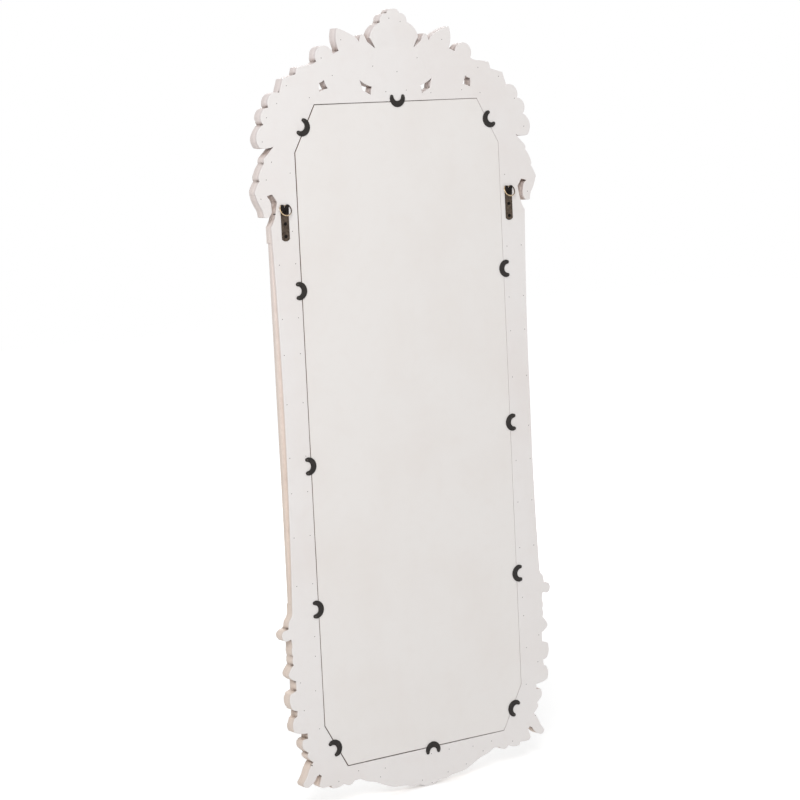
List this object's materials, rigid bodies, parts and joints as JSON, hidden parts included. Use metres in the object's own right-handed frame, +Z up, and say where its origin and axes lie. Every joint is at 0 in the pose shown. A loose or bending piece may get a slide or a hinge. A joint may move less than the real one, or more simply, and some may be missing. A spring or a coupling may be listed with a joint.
{
  "type": "carved wall mirror",
  "caption": "Tall white carved wood wall mirror with an octagonal bevelled glass, a pierced leaf crest and strap hangers with swinging rings on its back.",
  "frame": {"origin": "on the plane of the frame's flat back, on the centre line, at the height of the apron's lowest point", "axes": "+Z up along the mirror's height, front faces -Y, +Y points to the wall, +X is the viewer's right from the front"},
  "size_m": [0.7718, 0.0569, 1.8005],
  "materials": {
    "back_paint": "matt white paint on a smooth board, faint warm patches",
    "panel_paint": "matt white paint on a thin hardboard panel",
    "carved_paint": "chalky white paint rubbed back on the raised edges of carved wood",
    "silvered_glass": "bevelled silvered glass",
    "black_steel": "satin black pressed steel",
    "nail_steel": "blackened steel",
    "brad_steel": "dull bright steel",
    "bronzed_steel": "dark bronzed steel strip",
    "ring_brass": "antique brass wire",
    "screw_steel": "blackened steel"
  },
  "bodies": {
    "frame": {"back_board": "back_paint", "backing_panel": "panel_paint", "mirror_glass": "silvered_glass", "crest_carving": "carved_paint", "shoulder_carving_left": "carved_paint", "shoulder_carving_right": "carved_paint", "stile_left": "carved_paint", "stile_right": "carved_paint", "corner_carving_left": "carved_paint", "corner_carving_right": "carved_paint", "apron_carving": "carved_paint", "sight_top": "carved_paint", "sight_bottom": "carved_paint", "sight_left": "carved_paint", "sight_right": "carved_paint", "sight_corner_top_left": "carved_paint", "sight_corner_top_right": "carved_paint", "sight_corner_bottom_left": "carved_paint", "sight_corner_bottom_right": "carved_paint", "crown_shell": "carved_paint", "crown_boss": "carved_paint", "crest_leaf_left": "carved_paint", "crest_leaf_right": "carved_paint", "crest_scroll_left": "carved_paint", "crest_scroll_right": "carved_paint", "shoulder_scroll_left": "carved_paint", "shoulder_scroll_right": "carved_paint", "shoulder_leaf_left": "carved_paint", "shoulder_leaf_right": "carved_paint", "stile_bead_left": "carved_paint", "stile_bead_right": "carved_paint", "corner_leaf_left": "carved_paint", "corner_leaf_right": "carved_paint", "apron_shell": "carved_paint", "apron_scroll_left": "carved_paint", "apron_scroll_right": "carved_paint", "retaining_clips": "black_steel", "clip_nails": "nail_steel", "brads": "brad_steel", "hanger_strap_left": "bronzed_steel", "hanger_strap_right": "bronzed_steel", "hanger_screws": "screw_steel"},
    "ring_left": {"hanger_ring_left": "ring_brass"},
    "ring_right": {"hanger_ring_right": "ring_brass"}
  },
  "joints": [
    {"name": "ring_left_swing", "type": "hinge", "parent": "frame", "child": "ring_left", "pos_m": [-0.302, 0.00242, 1.38458], "axis": [1, 0, 0], "range_deg": [-17, 150]},
    {"name": "ring_right_swing", "type": "hinge", "parent": "frame", "child": "ring_right", "pos_m": [0.314, 0.00242, 1.37458], "axis": [1, 0, 0], "range_deg": [-17, 150]}
  ]
}
